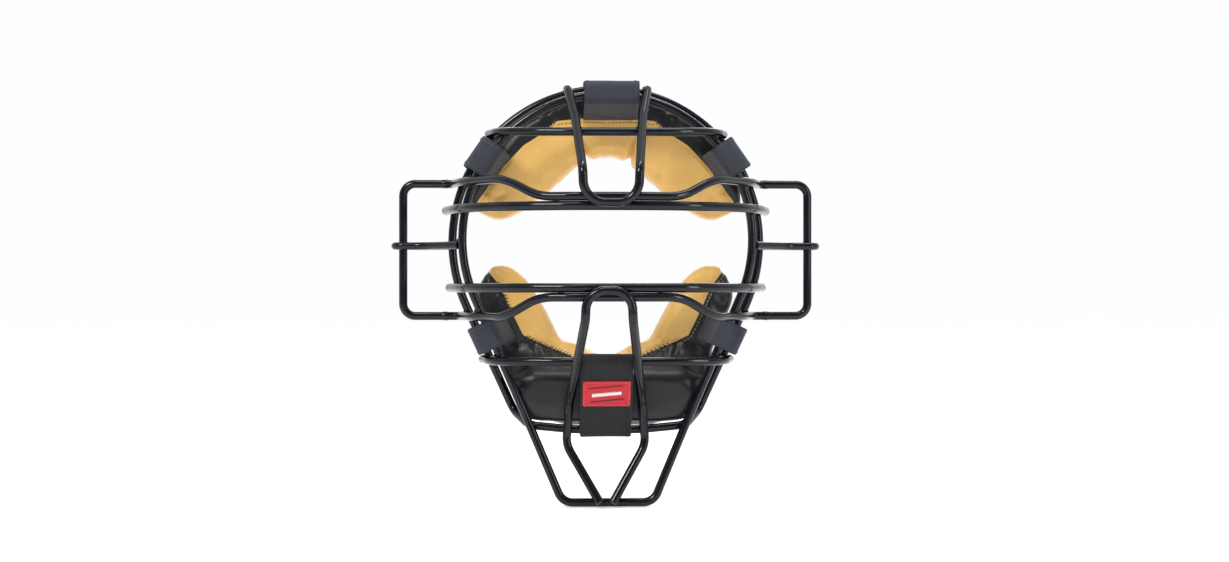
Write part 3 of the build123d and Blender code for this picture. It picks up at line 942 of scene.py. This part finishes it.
def lower_folds(places):
    """The lower pad's seam, its gathers and its folds, as heights in mm."""
    x, y, z = places.T
    front = past(y, PAD_MIDDLE)
    seam = to_row(places, LOWER_SEAM)
    moved = groove(seam, 1.3, 2.1) * front
    moved += 0.5 * np.exp(-(((seam - 4.4) / 2.6) ** 2)) * front
    wall = past(104, from_centre(x, z))
    moved += groove(np.abs(y - COVER_BACK), 1.1, 1.8) * wall
    for row, depth, width in (
        ([(50, -34), (42, -35.5), (33, -42)], 1.2, 1.6),
        ([(46, -42), (38, -38)], 0.9, 1.4),
        ([(26, -46), (17, -49)], 0.9, 1.5),
        ([(54, -41), (50, -52)], 1.3, 2.2),
        ([(44, -47), (43, -56)], 1.1, 2.0),
        ([(35, -50), (38, -58)], 0.9, 2.0),
        ([(64, -33), (72, -44)], 1.2, 2.4),
        ([(78, -2), (86, -8)], 0.8, 2.2),
        ([(74, -9), (84, -17)], 0.9, 2.4),
        ([(66, 6), (73, -2)], 0.7, 2.2),
    ):
        moved += groove(to_row(places, row), depth, width) * front
    moved += 0.5 * ripples(places, 0.045, 11.3)
    moved += 0.3 * ripples(places, 0.13, 5.2) * np.exp(-((seam / 9) ** 2))
    return moved


upper_mesh = pad_mesh("upper_pad_foam", 9)
swollen(upper_mesh, filled_arch)
upper_mesh = remeshed(upper_mesh, FINE_STEP, 3)
shaped(upper_mesh, upper_folds, upper_limit)
upper_surface = surface_of(upper_mesh)
split_pad("upper_pad", upper_mesh, UPPER_SEAM + [(104, 40), (104, 20)])

lower_mesh = pad_mesh("lower_pad_foam", 4)
drawn_out(lower_mesh, ["lower_pad_cover", "lower_pad_lining"], 0.75, -60)
swollen(lower_mesh, sloped_chin)
swollen(lower_mesh, filled_cheeks)
lower_mesh = applied(lower_mesh, [("SMOOTH", {"factor": 0.5, "iterations": 4})])
lower_mesh = remeshed(lower_mesh, FINE_STEP, 3)
shaped(lower_mesh, lower_folds, lower_limit)
lower_surface = surface_of(lower_mesh)
split_pad("lower_pad", lower_mesh, LOWER_SEAM + [(97, 45), (0, 45)])


def on_front(surface, x, z):
    """The pad's front surface at (x, z) in mm, with its normal."""
    place, normal, _, _ = surface.ray_cast(Vector((x * MM, -0.08, z * MM)), Vector((0, 1, 0)))
    if place is None:
        return None, None
    return place, (normal if normal.y < 0 else -normal)


def beside_seam(surface, line, distance, shift, inset, side):
    """The pad's front at a distance along its seam, shifted along it and inset from it."""
    ahead = (along(line, distance + 0.6) - along(line, max(0, distance - 0.6))).normalized()
    spot = along(line, distance + shift) + Vector((ahead.z, 0, -ahead.x)) * inset
    return on_front(surface, spot.x * side, spot.z)


def seam_row(surface, row, inset, side, start, stop, step=1.2):
    """Points on the pad's front beside its seam, between two distances along it in mm."""
    line = [Vector((x, 0, z)) for x, z in row]
    places, normals = [], []
    distance = start
    while distance <= stop:
        place, normal = beside_seam(surface, line, distance, 0, inset, side)
        if place is not None:
            places.append(place)
            normals.append(normal)
        distance += step
    return places, normals


def whip_stitches(bm, surface, row, side, start, stop, pitch, seed):
    """Slanted stitches that cross a seam, a little uneven."""
    line = [Vector((x, 0, z)) for x, z in row]
    count = int((stop - start) / pitch)
    for index in range(count):
        shake = noise.noise(Vector((index * 1.7, seed, 0.5)))
        distance = start + (index + 0.5 + 0.25 * shake) * pitch
        stitch = []
        for part in range(6):
            share = part / 5 - 0.5
            inset = share * (3.4 + shake)
            place, normal = beside_seam(surface, line, distance, share * 2.2, inset, side)
            if place is None:
                break
            lift = 0.5 * math.cos(math.pi * share) - 0.1
            stitch.append(place + normal * lift * MM)
        if len(stitch) == 6:
            tube(bm, stitch, 0.33 * MM)


def stitching(name, bm, material, body="root"):
    mesh = mesh_from(bm, name)
    smooth(mesh)
    return link_mesh(name, mesh, material, body)


sewing = bmesh.new()
for side in (-1, 1):
    running_stitches(sewing, *seam_row(upper_surface, UPPER_SEAM, 2.6, side, 0.5, 38), 2.8)
    whip_stitches(sewing, upper_surface, UPPER_SEAM, side, 36, 50, 2.2, 4)
stitching("upper_pad_black_stitching", sewing, BLACK_THREAD)
sewing = bmesh.new()
for side in (-1, 1):
    running_stitches(sewing, *seam_row(upper_surface, UPPER_SEAM, 2.4, side, 52, 132), 2.8, 0.6, 0.22)
stitching("upper_pad_gold_stitching", sewing, GOLD_THREAD)
sewing = bmesh.new()
whip_stitches(sewing, lower_surface, LOWER_SEAM, -1, 27, 66, 2.3, 9)
whip_stitches(sewing, lower_surface, LOWER_SEAM, -1, 84, 112, 2.6, 5)
whip_stitches(sewing, lower_surface, LOWER_SEAM, 1, 27, 52, 3.4, 2)
stitching("lower_pad_black_stitching", sewing, BLACK_THREAD)
sewing = bmesh.new()
running_stitches(sewing, *seam_row(lower_surface, LOWER_SEAM, 2.4, 1, 54, 124), 2.8, 0.6, 0.22)
stitching("lower_pad_gold_stitching", sewing, GOLD_THREAD)


# ---- tabs
def rounded_row(points, radii, step=1.0):
    """A row of points with its inner corners rounded to arcs. Radii are in mm."""
    corners = [Vector(point) for point in points]
    row = [corners[0]]
    for index, radius in enumerate(radii, 1):
        before, corner, after = corners[index - 1], corners[index], corners[index + 1]
        back = (before - corner).normalized()
        ahead = (after - corner).normalized()
        angle = back.angle(ahead)
        cut = radius / math.tan(angle / 2)
        centre = corner + (back + ahead).normalized() * (radius / math.sin(angle / 2))
        start = corner + back * cut
        end = corner + ahead * cut
        turn = math.pi - angle
        pieces = max(4, int(turn * radius / 0.7))
        for part in range(pieces + 1):
            ray = start - centre
            if turn > 1e-3:
                ray = ray.slerp(end - centre, part / pieces)
            row.append(centre + ray.normalized() * radius)
    row.append(corners[-1])
    filled = [row[0]]
    for point in row[1:]:
        gap = (point - filled[-1]).length
        pieces = max(1, int(gap / step))
        base = filled[-1]
        for part in range(1, pieces + 1):
            if gap > 1e-6:
                filled.append(base.lerp(point, part / pieces))
    return filled


def strap(name, row, across, width, material, seed):
    """A woven strap along a row of points (mm): rolled edges, a raised hem, a slight waver."""
    across = Vector(across).normalized()
    half, thick = width / 2, TAB_THICK / 2
    section = []
    for side in (1, -1):
        for step in range(15):
            share = side * (1 - 2 * step / 14)
            hem = 0.16 * math.exp(-(((abs(share) * half - (half - 1.6)) / 0.7) ** 2))
            section.append((share * (half - thick * 0.8), side * (thick + hem - 0.12)))
        for step in range(1, 4):
            turn = math.pi * step / 4
            reach = half - thick * 0.8 + math.sin(turn) * thick * 0.8
            section.append((-side * reach, side * math.cos(turn) * (thick - 0.1)))
    bm = bmesh.new()
    flat = bm.loops.layers.uv.new("flat")
    rings, run = [], distances(row)
    for index, point in enumerate(row):
        up = ahead_at(row, index).cross(across).normalized()
        ring = []
        for u, v in section:
            waver = 0.22 * noise.noise(Vector((run[index] * 0.06, u * 0.05, seed)))
            edge = 1 + 0.008 * noise.noise(Vector((run[index] * 0.11, seed, math.copysign(3, u))))
            ring.append(bm.verts.new((point + across * (u * edge) + up * (v + waver)) * MM))
        rings.append(ring)
    girth = [0.0]
    for (ua, va), (ub, vb) in zip(section, section[1:] + section[:1]):
        girth.append(girth[-1] + math.hypot(ub - ua, vb - va))
    count = len(section)
    for index in range(len(row) - 1):
        for step in range(count):
            after = (step + 1) % count
            ring, following = rings[index], rings[index + 1]
            face = bm.faces.new((ring[step], following[step], following[after], ring[after]))
            spots = (
                (girth[step], run[index]), (girth[step], run[index + 1]),
                (girth[step + 1], run[index + 1]), (girth[step + 1], run[index]),
            )
            for loop, (u, v) in zip(face.loops, spots):
                loop[flat].uv = (u * MM, v * MM)
    bm.faces.new(rings[0])
    bm.faces.new(list(reversed(rings[-1])))
    bmesh.ops.recalc_face_normals(bm, faces=bm.faces)
    mesh = mesh_from(bm, name)
    smooth(mesh, 70)
    return link_mesh(name, mesh, material, None), run[-1]


def strap_stitches(name, row, across, width, material, bars):
    """Two hem rows along the strap, and bars across it at some distances along it in mm."""
    across = Vector(across).normalized()
    inset = width / 2 - HEM_INSET
    run = distances(row)
    ups = [ahead_at(row, index).cross(across).normalized() for index in range(len(row))]
    bm = bmesh.new()
    for side in (-1, 1):
        for face in (-1, 1):
            places, normals = [], []
            for index, point in enumerate(row):
                if 2.0 <= run[index] <= run[-1] - 2.0:
                    up = ups[index] * face
                    places.append((point + across * (side * inset) + up * TAB_THICK / 2) * MM)
                    normals.append(up)
            stitch_line(bm, places, normals)
    for distance in bars:
        index = min(range(len(row)), key=lambda k: abs(run[k] - distance))
        for face in (-1, 1):
            up = ups[index] * face
            places = []
            for step in range(13):
                offset = inset * (2 * step / 12 - 1)
                places.append((row[index] + across * offset + up * TAB_THICK / 2) * MM)
            stitch_line(bm, places, [up] * 13)
    return stitching(name, bm, material, None)


def stitch_line(bm, places, normals):
    """Even lockstitches along a row of surface points."""
    total = row_length(places)
    number = max(1, int(total / (2.5 * MM)))
    run = distances(places)
    for index in range(number):
        stitch = []
        for part in range(5):
            distance = (index + 0.5 + 0.7 * (part / 4 - 0.5)) * total / number
            near = min(range(len(run)), key=lambda k: abs(run[k] - distance))
            lift = (0.36 * math.sin(math.pi * part / 4) - 0.14) * MM
            stitch.append(along(places, distance) + normals[near] * lift)
        tube(bm, stitch, 0.24 * MM)


def finish_tab(key, row, across, width, material, box, seed):
    """Build a tab with its tail as one strap, sew it, and hide the CAD tab and tail."""
    made, length = strap(f"{key}_tab_strap", row, across, width, material, seed)
    sewing_thread = GREY_THREAD if material is TAB_CLOTH else BLACK_THREAD
    bars = (*box, length - 3.0)
    sewn = strap_stitches(f"{key}_tab_stitching", row, across, width, sewing_thread, bars)
    for piece in (made, sewn):
        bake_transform(piece)
    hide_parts(f"{key}_tab", f"{key}_tab_tail")


# Where a tab is sewn on, the two corners of its front as (outward, Y), and its width, in mm
UPPER_TAB = (-18.5, (-13.6, -35.2), (2.6, -35.6), 25.5)
LOWER_TAB = (-22.5, (-13.8, -35.2), (4.4, -35.6), 20.5)
TAB_SHAPES = {
    "upper_right": UPPER_TAB,
    "upper_left": UPPER_TAB,
    "lower_right": LOWER_TAB,
    "lower_left": LOWER_TAB,
    "top": (-22.0, (-13.0, -35.8), (1.6, -36.0), 40.0),
}
for seed, (key, (seam, front_in, front_out, width)) in enumerate(TAB_SHAPES.items()):
    joint = JOINTS[f"{key}_tab_peel"]
    fold = Vector(joint["pos_m"]) / MM
    axis = Vector(joint["axis"])
    outward = Vector((-axis.z, 0, axis.x)).normalized()
    foot = fold - outward * FOLD_OUT
    foot.y = 0
    rows = [
        (seam, PADS_FRONT - 1.3),
        front_in,
        front_out,
        (4.75, -0.2),
        (FOLD_OUT, 3.2),
        (FOLD_OUT - 0.17 * TAIL_LENGTH, 3.2 + 0.98 * TAIL_LENGTH),
    ]
    corners = [foot + outward * out + Vector((0, y, 0)) for out, y in rows]
    row = rounded_row(corners, [4.2, 4.2, 4.5, 0.3])
    across = outward.cross(Vector((0, 1, 0)))
    finish_tab(key, row, across, width, TAB_CLOTH, (2.5, 9.0), seed)

chin_fold = Vector(JOINTS["chin_tab_peel"]["pos_m"]) / MM
chin_tail = Vector((0, 0.98, 0.2)).normalized()
chin_corners = [
    Vector((chin_fold.x, CHIN_FRONT_Y, -76)),
    Vector((chin_fold.x, CHIN_FRONT_Y, -58.5)),
    Vector((chin_fold.x, -69.4, -44.2)),
    Vector((chin_fold.x, -26.1, -108.5)),
    chin_fold,
    chin_fold + chin_tail * TAIL_LENGTH,
]
chin_row = rounded_row(chin_corners, [4, 4.4, 4.3, 0.1])
finish_tab("chin", chin_row, (1, 0, 0), 37.0, CHIN_CLOTH, (2.5, 13.0), 7)

# ---- chin label
label = NODES["chin_label"]
for slot in label.material_slots:
    slot.material = LABEL
face = min(label.data.polygons, key=lambda polygon: polygon.normal.y)
label_out = face.normal.copy()
label_side = Vector((1, 0, 0))
label_up = label_out.cross(label_side).normalized()
low, high = (Vector(corner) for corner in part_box("chin_label"))
tallest = max((vertex.co for vertex in label.data.vertices), key=lambda co: co.dot(label_out))
label_middle = (low + high) / 2
label_middle += label_out * (tallest - label_middle).dot(label_out)
LABEL_HALF = (17.0, 11.0)  # half the label's width and height, in mm
BORDER_INSET = 0.9


def label_point(across, up, lift):
    """A place over the label's face, from its middle, in mm."""
    return label_middle + (label_side * across + label_up * up + label_out * lift) * MM


sewing = bmesh.new()
half_x, half_z = LABEL_HALF[0] - BORDER_INSET, LABEL_HALF[1] - BORDER_INSET
for count, run, rim, upright in ((40, half_x, half_z, False), (26, half_z, half_x, True)):
    for index in range(count):
        spot = run * (2 * (index + 0.5) / count - 1)
        for edge in (-1, 1):
            stitch = []
            for slant, out, lift in ((-0.15, -0.9, -0.05), (0, 0, 0.24), (0.15, 0.85, -0.05)):
                pair = (spot + slant, edge * (rim + out))
                across, up = reversed(pair) if upright else pair
                stitch.append(label_point(across, up, lift))
            tube(sewing, stitch, 0.36 * MM)
stitching("chin_label_border", sewing, RED_THREAD)


def woven_bar(bm, start, end, width):
    """A satin-stitched bar: short threads side by side, across the bar's direction."""
    length = math.dist(start, end)
    count = int(length / 0.42)
    ahead = ((end[0] - start[0]) / length, (end[1] - start[1]) / length)
    for index in range(count):
        share = (index + 0.5) / count
        x = start[0] + (end[0] - start[0]) * share
        z = start[1] + (end[1] - start[1]) * share
        shape = []
        for place, lift in ((-0.5, -0.05), (-0.2, 0.2), (0.2, 0.2), (0.5, -0.05)):
            out = width * place
            shape.append(label_point(x - ahead[1] * out, z + ahead[0] * out, lift))
        tube(bm, shape, 0.24 * MM)


sewing = bmesh.new()
woven_bar(sewing, (-13.2, 4.6), (11.6, 7.4), 0.8)
woven_bar(sewing, (-11.6, -7.2), (13.2, -4.4), 0.8)
stitching("chin_label_dark_bars", sewing, BLACK_THREAD)
sewing = bmesh.new()
woven_bar(sewing, (-10.5, -1.6), (10.5, 0.8), 3.2)
stitching("chin_label_light_bar", sewing, WHITE_THREAD)

# ---- floor
bm = bmesh.new()
bmesh.ops.create_circle(bm, cap_ends=True, radius=12, segments=96)
floor_mesh = mesh_from(bm, "floor")
floor = placed("floor", floor_mesh)
floor.location.z = CAD_BOX[0].z - 0.0005
floor_mesh.materials.append(studio_floor())
